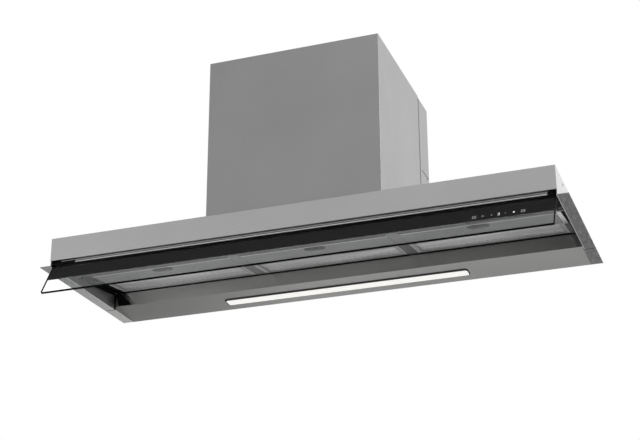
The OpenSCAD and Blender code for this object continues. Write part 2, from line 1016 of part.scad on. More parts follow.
// Ring behind the motor and three arms that stand on the volute's side
module motor_bracket() {
    face = volute_half + volute_t;
    color("#b0b3b5")
        translate([motor_x + motor_l, fan_y, fan_z])
            rotate([90, 0, 90])
                difference() {
                    union() {
                        cylinder(h = arm_t, r = arm_ring_out);
                        for (a = arm_angles)
                            rotate([0, 0, a]) {
                                translate([arm_ring_in, -arm_w / 2, 0])
                                    cube([post_r - arm_ring_in, arm_w, arm_t]);
                                translate([post_r - post_w, -arm_w / 2, face - motor_x - motor_l])
                                    cube([post_w, arm_w, motor_x + motor_l + arm_t - face]);
                            }
                    }
                    translate([0, 0, -cut])
                        cylinder(h = arm_t + 2 * cut, r = arm_ring_in);
                }
}

// Run capacitor, clipped to the inside of the motor box's front wall
module capacitor() {
    y0 = box_y + sheet_t;
    color("#e3e4e2") {
        translate([cap_can_x, y0 + clip_t + cap_can_r, cap_can_z])
            cylinder(h = cap_can_h, r = cap_can_r);
        translate([cap_can_x - clip_w / 2, y0, cap_can_z + clip_up])
            cube([clip_w, clip_d, clip_h]);
    }
}

module outlet_collar() {
    color("#3b3e40")
        translate([0, collar_y, box_z])
            difference() {
                union() {
                    linear_extrude(base_t)
                        rounded_plate(2 * base_half, 2 * base_half, base_corner);
                    cylinder(h = collar_h, r = collar_r);
                }
                translate([0, 0, axle_up - flap_t / 2 - gap])
                    cylinder(h = collar_h, r = bore_r);
                translate([0, 0, -cut])
                    cylinder(h = axle_up, r = bore_r - ledge_w);
                translate([0, 0, -cut])
                    cylinder(h = axle_up - flap_t / 2 - gap - ledge_t + cut, r = bore_r);
                translate([-collar_r - cut, 0, axle_up])
                    rotate([0, 90, 0])
                        cylinder(h = 2 * (collar_r + cut), r = axle_r + fit);
                for (x = [-screw_in, screw_in])
                    for (y = [-screw_in, screw_in])
                        translate([x, y, -cut])
                            cylinder(h = base_t + 2 * cut, r = screw_r + fit);
            }
}

// Half-round flap whose knuckles sit at the given places along the axle
module flap(dir, places) {
    color("#46494b")
        translate([0, collar_y, box_z + axle_up])
            difference() {
                union() {
                    intersection() {
                        translate([0, 0, -flap_t / 2])
                            cylinder(h = flap_t, r = flap_r);
                        translate([-flap_r, dir > 0 ? flap_root : -flap_r - flap_root, -flap_t])
                            cube([2 * flap_r, flap_r, 2 * flap_t]);
                    }
                    for (x = places) {
                        translate([x, 0, 0])
                            rotate([0, 90, 0])
                                cylinder(h = knuckle_l, r = knuckle_r);
                        translate([x, dir > 0 ? 0 : -flap_root - flap_t, -flap_t / 2])
                            cube([knuckle_l, flap_root + flap_t, flap_t]);
                    }
                }
                translate([-flap_r - cut, 0, 0])
                    rotate([0, 90, 0])
                        cylinder(h = 2 * (flap_r + cut), r = axle_r + fit);
            }
}

module flap_axle() {
    color("#c9cbcd")
        translate([-collar_r, collar_y, box_z + axle_up])
            rotate([0, 90, 0])
                cylinder(h = 2 * collar_r, r = axle_r);
}

module collar_screws() {
    color("#bfc1c3")
        for (x = [-screw_in, screw_in])
            for (y = [-screw_in, screw_in])
                translate([x, collar_y + y, box_z + base_t]) {
                    cylinder(h = head_h, r = head_r);
                    translate([0, 0, -screw_l])
                        cylinder(h = screw_l, r = screw_r);
                }
}

module electronics_box() {
    color("#cfd0cf")
        translate([elec_x, elec_y, body_h])
            difference() {
                translate([elec_w / 2, elec_d / 2, 0])
                    linear_extrude(elec_h - cover_t)
                        rounded_plate(elec_w, elec_d, elec_corner);
                translate([elec_w / 2, elec_d / 2, elec_wall])
                    linear_extrude(elec_h)
                        rounded_plate(elec_w - 2 * elec_wall, elec_d - 2 * elec_wall, elec_corner - elec_wall);
                translate([gland_x - elec_x, elec_d - elec_wall - cut, gland_z])
                    rotate([-90, 0, 0])
                        cylinder(h = elec_wall + 2 * cut, r = gland_r + fit);
            }
}

module electronics_cover() {
    color("#dadbda")
        translate([elec_x + elec_w / 2, elec_y + elec_d / 2, body_h + elec_h - cover_t])
            linear_extrude(cover_t)
                rounded_plate(elec_w, elec_d, elec_corner);
}

module power_board() {
    inset = elec_wall + board_in;
    color("#1f5a3c")
        translate([elec_x + inset, elec_y + inset, body_h + elec_wall]) {
            translate([0, 0, board_lift])
                cube([elec_w - 2 * inset, elec_d - 2 * inset - board_rear_gap, board_t]);
            for (x = [board_in, elec_w - 2 * inset - 2 * board_in])
                for (y = [board_in, elec_d / 2])
                    translate([x, y, 0])
                        cube([board_in, board_in, board_lift + board_t / 2]);
            for (i = [0 : relay_count - 1])
                translate([relay_w * (1 + 2 * i), relay_d, board_lift + board_t / 2])
                    cube([relay_w, relay_d, relay_h]);
        }
}

// Gland for the mains lead: a sleeve through the wall with a nut on each side
module cable_gland() {
    wall_y = elec_y + elec_d;
    color("#2a2b2c")
        translate([gland_x, wall_y - elec_wall - gland_nut_l, body_h + gland_z])
            rotate([-90, 0, 0])
                difference() {
                    union() {
                        cylinder(h = gland_nut_l, r = gland_nut_r, $fn = 6);
                        cylinder(h = gland_l + elec_wall, r = gland_r);
                        translate([0, 0, gland_nut_l + elec_wall])
                            cylinder(h = gland_nut_l, r = gland_nut_r, $fn = 6);
                    }
                    translate([0, 0, -cut])
                        cylinder(h = gland_l + elec_wall + 2 * cut, r = gland_bore);
                }
}

canopy_top();
end_panel(-1);  // end_panel_left
end_panel(1);  // end_panel_right
fascia();
front_plate();
light_tray();
visor_glass();
band_carrier();
visor_rail();
end_cap(-1);  // end_cap_left
end_cap(1);  // end_cap_right
hinge_pin(-1);  // hinge_pin_left
hinge_pin(1);  // hinge_pin_right
touch_board();
touch_cover();
catch_block(-1);  // catch_block_left
catch_block(1);  // catch_block_right
catch_magnets();
filter_frame(-1);  // filter_frame_left
filter_frame(0);  // filter_frame_centre
filter_frame(1);  // filter_frame_right
filter_mesh(-1);  // filter_mesh_left
filter_mesh(0);  // filter_mesh_centre
filter_mesh(1);  // filter_mesh_right
latch(-1);  // latch_left
latch(0);  // latch_centre
latch(1);  // latch_right
separator(-1);  // separator_left
separator(1);  // separator_right
side_rail(-1);  // side_rail_left
side_rail(1);  // side_rail_right
led_profile();
led_board();
led_diffuser();
led_gasket();
led_driver();
box_front();
box_rear();
box_top();
scroll(-1);  // scroll_left
scroll(1);  // scroll_right
impeller_disc();
impeller_ring(-1);  // impeller_ring_left
impeller_ring(1);  // impeller_ring_right
impeller_blades(-1);  // impeller_blades_left
impeller_blades(1);  // impeller_blades_right
motor();
motor_shaft();
motor_bracket();
capacitor();
outlet_collar();
flap(-1, flap_front_places);  // flap_front
flap(1, flap_rear_places);  // flap_rear
flap_axle();
collar_screws();
electronics_box();
electronics_cover();
power_board();
cable_gland();
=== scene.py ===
from math import cos, pi, radians, sin, tan

import bpy
from mathutils import Matrix, Vector


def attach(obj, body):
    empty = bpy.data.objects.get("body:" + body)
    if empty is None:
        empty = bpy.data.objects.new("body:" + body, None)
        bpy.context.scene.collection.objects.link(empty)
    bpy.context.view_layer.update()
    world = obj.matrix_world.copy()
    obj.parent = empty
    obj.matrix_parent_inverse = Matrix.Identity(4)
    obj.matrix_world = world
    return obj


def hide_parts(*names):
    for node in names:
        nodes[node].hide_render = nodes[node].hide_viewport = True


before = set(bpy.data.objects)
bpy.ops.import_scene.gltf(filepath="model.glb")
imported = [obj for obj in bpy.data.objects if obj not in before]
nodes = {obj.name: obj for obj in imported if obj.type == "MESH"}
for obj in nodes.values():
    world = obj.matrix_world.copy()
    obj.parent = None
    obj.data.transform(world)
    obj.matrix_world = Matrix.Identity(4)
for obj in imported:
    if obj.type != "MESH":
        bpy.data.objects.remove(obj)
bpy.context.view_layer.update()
bpy.ops.object.select_all(action="DESELECT")

# Camera: below the hood and to its right, looking up at it, as a brochure shows a built-in hood.
# Its place and its lens come from the hood's own straight edges in the photograph.
camera_place = (0.75543, -1.96683, -0.86704)
camera_azimuth = radians(19.6515)
camera_elevation = radians(22.8907)
camera_roll = 0.0045
sensor_width = 36
photo_width = 640
focal_pixels = 1429.88

bpy.ops.object.camera_add(location=camera_place)
camera = bpy.context.object
turn = Matrix.Rotation(camera_azimuth, 3, "Z")
tilt = Matrix.Rotation(pi / 2 + camera_elevation, 3, "X")
roll = Matrix.Rotation(-camera_roll, 3, "Z")
camera.rotation_euler = (turn @ tilt @ roll).to_euler()
camera.data.sensor_width = sensor_width
camera.data.lens = focal_pixels * sensor_width / photo_width
camera.data.clip_start = 0.01
bpy.context.scene.camera = camera
bpy.context.scene.view_settings.view_transform = "Standard"

# Studio: a white surround behind the hood, a greyer room in front of it and overhead, one broad
# lamp on the right, weak ones on the left and above, and a pale floor well below.
room_front = 0.50
room_back = 1.0
room_overhead = 0.19
floor_level = -1.35
floor_side = 9.0
floor_colour = (0.80, 0.80, 0.80, 1)

world = bpy.data.worlds.new("studio")
bpy.context.scene.world = world
world.use_nodes = True
tree = world.node_tree
tree.nodes.clear()
direction = tree.nodes.new("ShaderNodeTexCoord")
split = tree.nodes.new("ShaderNodeSeparateXYZ")
tree.links.new(direction.outputs["Generated"], split.inputs[0])


def room_ramp(axis, start, end, low, high):
    ramp = tree.nodes.new("ShaderNodeMapRange")
    ramp.interpolation_type = "SMOOTHSTEP"
    ramp.inputs["From Min"].default_value = start
    ramp.inputs["From Max"].default_value = end
    ramp.inputs["To Min"].default_value = low
    ramp.inputs["To Max"].default_value = high
    tree.links.new(split.outputs[axis], ramp.inputs["Value"])
    return ramp.outputs["Result"]


front_to_back = room_ramp("Y", -0.9, 0.6, room_front, room_back)
upward = room_ramp("Z", 0.5, 0.88, 1.0, room_overhead)
level = tree.nodes.new("ShaderNodeMath")
level.operation = "MULTIPLY"
tree.links.new(front_to_back, level.inputs[0])
tree.links.new(upward, level.inputs[1])
surround = tree.nodes.new("ShaderNodeBackground")
surround.inputs["Color"].default_value = (1, 1, 1, 1)
tree.links.new(level.outputs[0], surround.inputs["Strength"])
paper = tree.nodes.new("ShaderNodeBackground")
paper.inputs["Color"].default_value = (1, 1, 1, 1)
path = tree.nodes.new("ShaderNodeLightPath")
through = tree.nodes.new("ShaderNodeMath")
through.operation = "MULTIPLY_ADD"
through.inputs[1].default_value = 0.9
through.inputs[2].default_value = 1.0
tree.links.new(path.outputs["Is Transmission Ray"], through.inputs[0])
tree.links.new(through.outputs[0], paper.inputs["Strength"])
seen = tree.nodes.new("ShaderNodeMath")
seen.operation = "MAXIMUM"
tree.links.new(path.outputs["Is Camera Ray"], seen.inputs[0])
tree.links.new(path.outputs["Is Transmission Ray"], seen.inputs[1])
pick = tree.nodes.new("ShaderNodeMixShader")
tree.links.new(seen.outputs[0], pick.inputs["Fac"])
tree.links.new(surround.outputs[0], pick.inputs[1])
tree.links.new(paper.outputs[0], pick.inputs[2])
out = tree.nodes.new("ShaderNodeOutputWorld")
tree.links.new(pick.outputs[0], out.inputs["Surface"])


def lamp(name, place, aim, size, power):
    bpy.ops.object.light_add(type="AREA", location=place)
    light = bpy.context.object
    light.name = name
    light.data.shape = "DISK"
    light.data.size = size
    light.data.energy = power
    light.rotation_euler = (Vector(aim) - Vector(place)).to_track_quat("-Z", "Y").to_euler()


lamp("right_lamp", (2.6, -0.6, 0.9), (0.3, 0.1, 0.1), 1.6, 20.5)
lamp("left_lamp", (-2.2, -2.2, -0.6), (0, 0.1, 0), 1.6, 14)
lamp("top_lamp", (0, -1.6, 2.4), (0, 0, 0), 1.0, 5)

bpy.ops.mesh.primitive_plane_add(size=floor_side, location=(0, 0, floor_level))
floor = bpy.context.object
floor.name = "floor"
floor_paint = bpy.data.materials.new("floor_paint")
floor_paint.use_nodes = True
floor_tree = floor_paint.node_tree
floor_shader = floor_tree.nodes["Principled BSDF"]
floor_shader.inputs["Base Color"].default_value = floor_colour
floor_shader.inputs["Roughness"].default_value = 0.8
floor_noise = floor_tree.nodes.new("ShaderNodeTexNoise")
floor_noise.inputs["Scale"].default_value = 40
floor_bump = floor_tree.nodes.new("ShaderNodeBump")
floor_bump.inputs["Strength"].default_value = 0.02
floor_tree.links.new(floor_noise.outputs["Fac"], floor_bump.inputs["Height"])
floor_tree.links.new(floor_bump.outputs["Normal"], floor_shader.inputs["Normal"])
floor.data.materials.append(floor_paint)

# Cards on the floor: black ones that the right strip and the left end of the light tray mirror,
# and a lit white one that the left strip mirrors.
card_height = 0.02


def card_on_floor(name, x, y, wide, deep, glow):
    bpy.ops.mesh.primitive_plane_add(size=1, location=(x, y, floor_level + card_height))
    card = bpy.context.object
    card.name = name
    card.scale = (wide, deep, 1)
    bpy.ops.object.transform_apply(location=True, rotation=True, scale=True)
    paint = bpy.data.materials.new(name)
    paint.use_nodes = True
    shader = paint.node_tree.nodes["Principled BSDF"]
    shader.inputs["Base Color"].default_value = (0.01, 0.01, 0.01, 1)
    shader.inputs["Roughness"].default_value = 0.9
    shader.inputs["Emission Color"].default_value = (1, 1, 1, 1)
    shader.inputs["Emission Strength"].default_value = glow
    card.data.materials.append(paint)
    card.visible_camera = False
    card.visible_diffuse = False
    card.visible_shadow = False


card_on_floor("strip_card", 0.1, 3.75, 2.2, 1.9, 0.0)
card_on_floor("tray_card", -1.8, 2.3, 1.3, 1.0, 0.0)
card_on_floor("left_card", -2.45, 3.9, 1.3, 1.3, 0.75)


# Canopy top and the two end panels: folded stainless sheet 1.2 mm thick, its folds rounded and its
# cut edges broken. The strips that lap the cabinet are polished. The outer sides are a dull finish
# whose colour is raised as painted light, the strips' inner folds carry a painted highlight, and
# their rear ends, at the joint with the tray, are painted shade.
def new_material(name, colour, metal, rough):
    made = bpy.data.materials.new(name)
    made.use_nodes = True
    shader = made.node_tree.nodes["Principled BSDF"]
    shader.inputs["Base Color"].default_value = (*colour, 1)
    shader.inputs["Metallic"].default_value = metal
    shader.inputs["Roughness"].default_value = rough
    return made, made.node_tree, shader


def object_noise(tree, scale, stretch, detail=4):
    """Noise on object coordinates, drawn out along the axis whose stretch is small."""
    place = tree.nodes.new("ShaderNodeTexCoord")
    mapping = tree.nodes.new("ShaderNodeMapping")
    mapping.inputs["Scale"].default_value = stretch
    noise = tree.nodes.new("ShaderNodeTexNoise")
    noise.inputs["Scale"].default_value = scale
    noise.inputs["Detail"].default_value = detail
    tree.links.new(place.outputs["Object"], mapping.inputs["Vector"])
    tree.links.new(mapping.outputs["Vector"], noise.inputs["Vector"])
    return noise.outputs["Fac"]


def spread(tree, value, low, high):
    """A value near one half, spread evenly from low to high."""
    ramp = tree.nodes.new("ShaderNodeMapRange")
    ramp.inputs["From Min"].default_value = 0.3
    ramp.inputs["From Max"].default_value = 0.7
    ramp.inputs["To Min"].default_value = low
    ramp.inputs["To Max"].default_value = high
    tree.links.new(value, ramp.inputs["Value"])
    return ramp.outputs["Result"]


def tinted(tree, shader, colour, value, swing):
    """Colour that goes lighter and darker by swing with a value from zero to one."""
    mix = tree.nodes.new("ShaderNodeMix")
    mix.data_type = "RGBA"
    mix.inputs["A"].default_value = (*[c * (1 - swing) for c in colour], 1)
    mix.inputs["B"].default_value = (*[c * (1 + swing) for c in colour], 1)
    tree.links.new(value, mix.inputs["Factor"])
    tree.links.new(mix.outputs["Result"], shader.inputs["Base Color"])


def bumped(tree, shader, value, strength, distance):
    bump = tree.nodes.new("ShaderNodeBump")
    bump.inputs["Strength"].default_value = strength
    bump.inputs["Distance"].default_value = distance
    tree.links.new(value, bump.inputs["Height"])
    tree.links.new(bump.outputs["Normal"], shader.inputs["Normal"])


def brushed_steel(name, colour, rough, grain, swing=0.05, depth=0.06):
    made, tree, shader = new_material(name, colour, 1.0, rough)
    fine = object_noise(tree, 1800, grain)
    cloud = object_noise(tree, 7, (1, 1, 1), 2)
    tinted(tree, shader, colour, spread(tree, cloud, 0, 1), swing)
    tree.links.new(spread(tree, fine, rough - 0.07, rough + 0.07), shader.inputs["Roughness"])
    bumped(tree, shader, fine, depth, 0.0002)
    return made


def choose(piece):
    """Makes one piece the only selected and the active one."""
    bpy.ops.object.select_all(action="DESELECT")
    piece.select_set(True)
    bpy.context.view_layer.objects.active = piece


def edit(piece, kind):
    """Edit mode on one piece alone, with nothing selected."""
    choose(piece)
    bpy.ops.object.mode_set(mode="EDIT")
    bpy.ops.mesh.select_mode(type=kind)
    bpy.ops.mesh.select_all(action="DESELECT")


def object_mode():
    bpy.ops.object.mode_set(mode="OBJECT")


def pick_edges(piece, test):
    """Selects the edges whose two ends pass a test, and stays in edit mode."""
    edit(piece, "EDGE")
    object_mode()
    points = piece.data.vertices
    for edge in piece.data.edges:
        edge.select = bool(test(points[edge.vertices[0]].co, points[edge.vertices[1]].co))
    bpy.ops.object.mode_set(mode="EDIT")


def pick_faces(piece, test):
    """Selects the faces whose middle and normal pass a test, and stays in edit mode."""
    edit(piece, "FACE")
    object_mode()
    for face in piece.data.polygons:
        face.select = bool(test(face.center, face.normal))
    bpy.ops.object.mode_set(mode="EDIT")


def round_picked(width, steps):
    bpy.ops.mesh.bevel(offset=width, offset_type="OFFSET", segments=steps, profile=0.5, affect="EDGES")
    object_mode()


def break_edges(piece, width, steps=2, angle=35):
    """Breaks every sharp edge of a piece."""
    choose(piece)
    bevel = piece.modifiers.new("broken", "BEVEL")
    bevel.width = width
    bevel.segments = steps
    bevel.limit_method = "ANGLE"
    bevel.angle_limit = radians(angle)
    bpy.ops.object.modifier_apply(modifier=bevel.name)


def soften(piece, width, steps=2, angle=35):
    """Breaks every sharp edge, then shades the curves smooth and keeps the flats flat."""
    break_edges(piece, width, steps, angle)
    bpy.ops.object.shade_smooth_by_angle(angle=radians(angle))
    weigh = piece.modifiers.new("weigh", "WEIGHTED_NORMAL")
    weigh.mode = "FACE_AREA"
    weigh.weight = 100
    weigh.keep_sharp = True
    bpy.ops.object.modifier_apply(modifier=weigh.name)


def copy_of(source, name):
    piece = source.copy()
    piece.data = source.data.copy()
    piece.name = name
    bpy.context.scene.collection.objects.link(piece)
    return piece


def from_node(node, name):
    """The shape of a CAD node as a new piece, its triangles merged and its flat faces joined."""
    piece = copy_of(nodes[node], name)
    piece.parent = None
    piece.matrix_world = Matrix.Identity(4)
    choose(piece)
    if piece.data.has_custom_normals:
        bpy.ops.mesh.customdata_custom_splitnormals_clear()
    edit(piece, "VERT")
    bpy.ops.mesh.select_all(action="SELECT")
    bpy.ops.mesh.remove_doubles(threshold=0.000002)
    bpy.ops.mesh.dissolve_limited(angle_limit=radians(0.4))
    object_mode()
    return piece


def cut_across(piece, place, way):
    """A cut through the whole piece on one plane, with nothing removed."""
    edit(piece, "FACE")
    bpy.ops.mesh.select_all(action="SELECT")
    bpy.ops.mesh.bisect(plane_co=place, plane_no=way)
    object_mode()


def finish_piece(piece, material, body, *replaced):
    if material is not None:
        piece.data.materials.clear()
        piece.data.materials.append(material)
    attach(piece, body)
    if replaced:
        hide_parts(*replaced)


def near(value, target, slack=0.0002):
    return abs(value - target) < slack


along_hood = (0.02, 1, 1)
up_and_down = (1, 1, 0.02)
across_hood = (1, 0.02, 1)
front_y = 0.0015
back_y = 0.308
top_z = 0.0507
fold_r = 0.0014
canopy_steel = brushed_steel("canopy_steel", (0.46, 0.46, 0.45), 0.38, along_hood)
panel_steel = brushed_steel("panel_steel", (0.49, 0.49, 0.485), 0.24, across_hood, 0.02, 0.02)
# Dull mill finish for the outer sides, its colour raised as painted light.
outer_lit_steel = brushed_steel("outer_lit_steel", (0.80, 0.80, 0.80), 0.5, across_hood, 0.03)
# Painted highlight along the strips' inner fold.
fold_highlight_steel = brushed_steel("fold_highlight_steel", (0.85, 0.85, 0.85), 0.3, across_hood, 0.03)
inner_steel = brushed_steel("inner_steel", (0.44, 0.44, 0.44), 0.4, across_hood, 0.25)
# Near black: painted shade in the joint at the strips' rear ends.
joint_shade_steel = brushed_steel("joint_shade_steel", (0.05, 0.05, 0.05), 0.4, across_hood)
fold_line = 0.4313
outer_side = 0.4305
strip_end = 0.2333
strip_top = 0.0013

canopy = from_node("canopy_top", "canopy_sheet")
pick_edges(canopy, lambda a, b: abs(a.x - b.x) > 0.8 and near(a.z, top_z) and near(b.z, top_z)
           and (near(a.y, front_y) or near(a.y, back_y)))
round_picked(fold_r, 3)
soften(canopy, 0.00025)
finish_piece(canopy, canopy_steel, "housing", "canopy_top")

for side, sign in (("left", -1), ("right", 1)):
    panel = from_node("end_panel_" + side, "end_sheet_" + side)
    cut_across(panel, (sign * fold_line, 0, 0), (1, 0, 0))
    cut_across(panel, (0, strip_end, 0), (0, 1, 0))
    soften(panel, 0.0003)
    panel.data.materials.clear()
    for made in (panel_steel, outer_lit_steel, fold_highlight_steel, inner_steel, joint_shade_steel):
        panel.data.materials.append(made)
    for face in panel.data.polygons:
        at = face.center
        # Outer side faces: the lighter steel, painted light.
        if face.normal.x * sign > 0.9 and abs(at.x) > outer_side and at.z > strip_top:
            face.material_index = 1
        elif face.normal.x * sign < -0.9 and at.z > strip_top:
            face.material_index = 3
        # The strips' last 2 mm, at the joint with the tray: painted shade.
        elif at.y > strip_end and at.z < strip_top:
            face.material_index = 4
        # The strips' narrow inner fold zone: painted highlight.
        elif abs(at.x) < fold_line and at.z < strip_top:
            face.material_index = 2
    finish_piece(panel, None, "housing", "end_panel_" + side)

# Front bar: the finest sheet of the hood, polished then brushed lengthwise, folded back below
# into a lip whose underside is painted darker as painted shade. Its long edges are rounded by
# the fold.
bar_steel = brushed_steel("bar_steel", (0.675, 0.675, 0.675), 0.34, along_hood, 0.03)
lip_shade_steel = brushed_steel("lip_shade_steel", (0.25, 0.25, 0.25), 0.4, along_hood, 0.03)
lip_top = 0.0119
bar_skin = 0.0008
bar = from_node("fascia", "front_bar")
pick_edges(bar, lambda a, b: abs(a.x - b.x) > 0.8 and near(a.y, 0) and near(b.y, 0))
round_picked(0.0005, 3)
soften(bar, 0.00015)
bar.data.materials.clear()
bar.data.materials.append(bar_steel)
bar.data.materials.append(lip_shade_steel)
for face in bar.data.polygons:
    # The lip's underside faces: painted shade.
    face.material_index = int(face.center.z < lip_top and face.center.y > bar_skin)
finish_piece(bar, None, "housing", "fascia")

# Cross plate between the visor and the filters, dull folded sheet with a slot at each end, and
# the black ribbed catch blocks under its ends, each with a magnet that holds the closed visor.
def set_input(material, socket, value):
    material.node_tree.nodes["Principled BSDF"].inputs[socket].default_value = value


recess_steel = brushed_steel("recess_steel", (0.30, 0.30, 0.30), 0.45, along_hood)
set_input(recess_steel, "Metallic", 0.6)
plate = from_node("front_plate", "cross_plate")
soften(plate, 0.0003)
finish_piece(plate, recess_steel, "housing", "front_plate")


def moulded(name, colour, rough=0.45, scale=1500, depth=0.08):
    made, tree, shader = new_material(name, colour, 0.0, rough)
    grain = object_noise(tree, scale, (1, 1, 1), 2)
    cloud = object_noise(tree, 12, (1, 1, 1), 2)
    tinted(tree, shader, colour, spread(tree, cloud, 0, 1), 0.06)
    bumped(tree, shader, grain, depth, 0.0003)
    return made


black_plastic = moulded("black_plastic", (0.012, 0.012, 0.013))
set_input(black_plastic, "Specular IOR Level", 0.25)
catch_black = moulded("catch_black", (0.004, 0.004, 0.004), 0.6)
set_input(catch_black, "Specular IOR Level", 0.1)
magnet_black = moulded("magnet_black", (0.03, 0.03, 0.032), 0.4, 2500)
for side in ("left", "right"):
    stop = from_node("catch_block_" + side, "catch_" + side)
    soften(stop, 0.0003)
    finish_piece(stop, catch_black, "housing", "catch_block_" + side)


def paint_node(name, material):
    slots = nodes[name].data.materials
    slots.clear()
    slots.append(material)


paint_node("catch_magnets", magnet_black)

# Visor rail: satin anodised aluminium extrusion with a groove and a lip against the glass, both
# painted black as painted shade, and a black clip at its left end. Moulded caps close its ends and
# turn on steel pins.
aluminium = brushed_steel("aluminium", (0.75, 0.755, 0.76), 0.32, along_hood, 0.03, 0.04)
pin_steel = brushed_steel("pin_steel", (0.72, 0.72, 0.73), 0.2, (1, 1, 1), 0.02, 0.02)
satin_rail = brushed_steel("satin_rail", (0.96, 0.96, 0.96), 0.5, along_hood, 0.03, 0.04)
set_input(satin_rail, "Metallic", 0.0)
hinge_place = Vector((0, 0.0173, 0.0075))
visor_turn = Matrix.Translation(hinge_place) @ Matrix.Rotation(-radians(120), 4, "X")
visor_back = visor_turn.inverted()
groove_start = 0.0030
groove_end = 0.0046
lip_start = 0.0070
clip_end = -0.387
clip_start = 0.002
groove_depth = 0.0004
groove_face = -0.0085
groove_roof = -0.0084
groove_floor = -0.00895
along_visor = visor_turn.to_3x3() @ Vector((0, 1, 0))

rail = from_node("visor_rail", "visor_extrusion")
for cut_y in (groove_start, groove_end, lip_start, clip_start):
    cut_across(rail, visor_turn @ Vector((0, cut_y, 0)), along_visor)
cut_across(rail, (clip_end, 0, 0), (1, 0, 0))
pick_faces(rail, lambda centre, normal: groove_start < (visor_back @ centre).y < groove_end
           and (visor_back.to_3x3() @ normal).z < -0.9 and (visor_back @ centre).z < groove_face)
bpy.ops.mesh.extrude_region_move(
    TRANSFORM_OT_translate={"value": visor_turn.to_3x3() @ Vector((0, 0, groove_depth))})
object_mode()
soften(rail, 0.00015)
rail.data.materials.clear()
rail.data.materials.append(satin_rail)
rail.data.materials.append(black_plastic)
# Groove and lip faces take the black as painted shade; the clip at the left end is black plastic.
for face in rail.data.polygons:
    at = visor_back @ face.center
    in_groove = groove_start < at.y < groove_end and groove_floor < at.z < groove_roof
    in_clip = at.x < clip_end and at.y > clip_start
    face.material_index = int(in_groove or in_clip or at.y > lip_start)
finish_piece(rail, None, "visor", "visor_rail")
for side in ("left", "right"):
    cap = from_node("end_cap_" + side, "visor_cap_" + side)
    soften(cap, 0.0003)
    finish_piece(cap, black_plastic, "visor", "end_cap_" + side)
    paint_node("hinge_pin_" + side, pin_steel)

# Visor glass: one toughened pane of lightly greyed glass, 4 mm thick, with ground edges that look
# black, printed black from behind over its hinge half. It is drawn closed, then swung open.
glass_half = 0.4285
glass_near = 0.001
glass_far = 0.0779
glass_out = -0.008
glass_in = -0.00402
band_start = 0.0015
band_end = 0.044
edge_line = 0.0763
side_line = 0.4264

clear_glass = bpy.data.materials.new("clear_glass")
clear_glass.use_nodes = True
glass_tree = clear_glass.node_tree
glass_shader = glass_tree.nodes["Principled BSDF"]
glass_shader.inputs["Base Color"].default_value = (0.62, 0.63, 0.63, 1)
glass_shader.inputs["Transmission Weight"].default_value = 1.0
glass_shader.inputs["IOR"].default_value = 1.5
glass_tree.links.new(spread(glass_tree, object_noise(glass_tree, 30, (1, 1, 1), 2), 0.0, 0.006),
                     glass_shader.inputs["Roughness"])
glass_path = glass_tree.nodes.new("ShaderNodeLightPath")
glass_pass = glass_tree.nodes.new("ShaderNodeBsdfTransparent")
glass_pass.inputs["Color"].default_value = (0.9, 0.92, 0.92, 1)
glass_mix = glass_tree.nodes.new("ShaderNodeMixShader")
glass_tree.links.new(glass_path.outputs["Is Shadow Ray"], glass_mix.inputs["Fac"])
glass_tree.links.new(glass_shader.outputs[0], glass_mix.inputs[1])
glass_tree.links.new(glass_pass.outputs[0], glass_mix.inputs[2])
glass_tree.links.new(glass_mix.outputs[0], glass_tree.nodes["Material Output"].inputs["Surface"])
black_print = moulded("black_print", (0.004, 0.004, 0.0045), 0.5, 4000, 0.01)
set_input(black_print, "Specular IOR Level", 0.1)
ground_edge = moulded("ground_edge", (0.003, 0.004, 0.0035), 0.5, 5000, 0.05)
set_input(ground_edge, "Specular IOR Level", 0.05)


def block(name, low, high):
    """A box from its lowest to its highest corner, the start of a piece."""
    low = Vector(low)
    high = Vector(high)
    bpy.ops.mesh.primitive_cube_add(size=1, location=(low + high) / 2)
    piece = bpy.context.object
    piece.name = name
    piece.scale = high - low
    bpy.ops.object.transform_apply(location=True, rotation=True, scale=True)
    return piece


def settle(piece, place):
    """Puts a finished shape where it belongs and applies that, so its object stays at the origin."""
    choose(piece)
    piece.matrix_world = place
    bpy.ops.object.transform_apply(location=True, rotation=True, scale=True)


pane = block("visor_pane", (-glass_half, glass_near, glass_out), (glass_half, glass_far, glass_in))
pick_edges(pane, lambda a, b: abs(a.z - b.z) > 0.001)
round_picked(0.002, 4)
for cut_y in (band_start, band_end, edge_line):
    cut_across(pane, (0, cut_y, 0), (0, 1, 0))
for cut_x in (-side_line, side_line):
    cut_across(pane, (cut_x, 0, 0), (1, 0, 0))
break_edges(pane, 0.0003)
bpy.ops.object.shade_flat()
pane.data.materials.append(clear_glass)
pane.data.materials.append(black_print)
pane.data.materials.append(ground_edge)
for face in pane.data.polygons:
    at_rim = face.center.y > edge_line or abs(face.center.x) > side_line
    if abs(face.normal.z) < 0.9 or (face.normal.z > 0 and at_rim):
        face.material_index = 2
    elif face.normal.z > 0 and band_start < face.center.y < band_end:
        face.material_index = 1
settle(pane, visor_turn)
finish_piece(pane, None, "visor", "visor_glass")
carrier = from_node("band_carrier", "band_strip")
soften(carrier, 0.0002)
finish_piece(carrier, black_plastic, "visor", "band_carrier")

# Touch symbols: screened on the back of the glass and lit from behind by the board in the black
# cover. Plain keys: a grid at each end, a fan, a dash, the speed digit, a plus and the light dot.
symbol_y = 0.0352
symbol_z = glass_in - 0.00004
dim_white = new_material("dim_symbol", (0.35, 0.35, 0.35), 0.0, 0.5)
lit_white = new_material("lit_symbol", (0.8, 0.8, 0.8), 0.0, 0.5)
for (made, made_tree, shader), glow in ((dim_white, 0.13), (lit_white, 1.0)):
    shader.inputs["Emission Color"].default_value = (1, 1, 1, 1)
    grain = object_noise(made_tree, 2500, (1, 1, 1), 1)
    made_tree.links.new(spread(made_tree, grain, glow * 0.9, glow * 1.1),
                        shader.inputs["Emission Strength"])


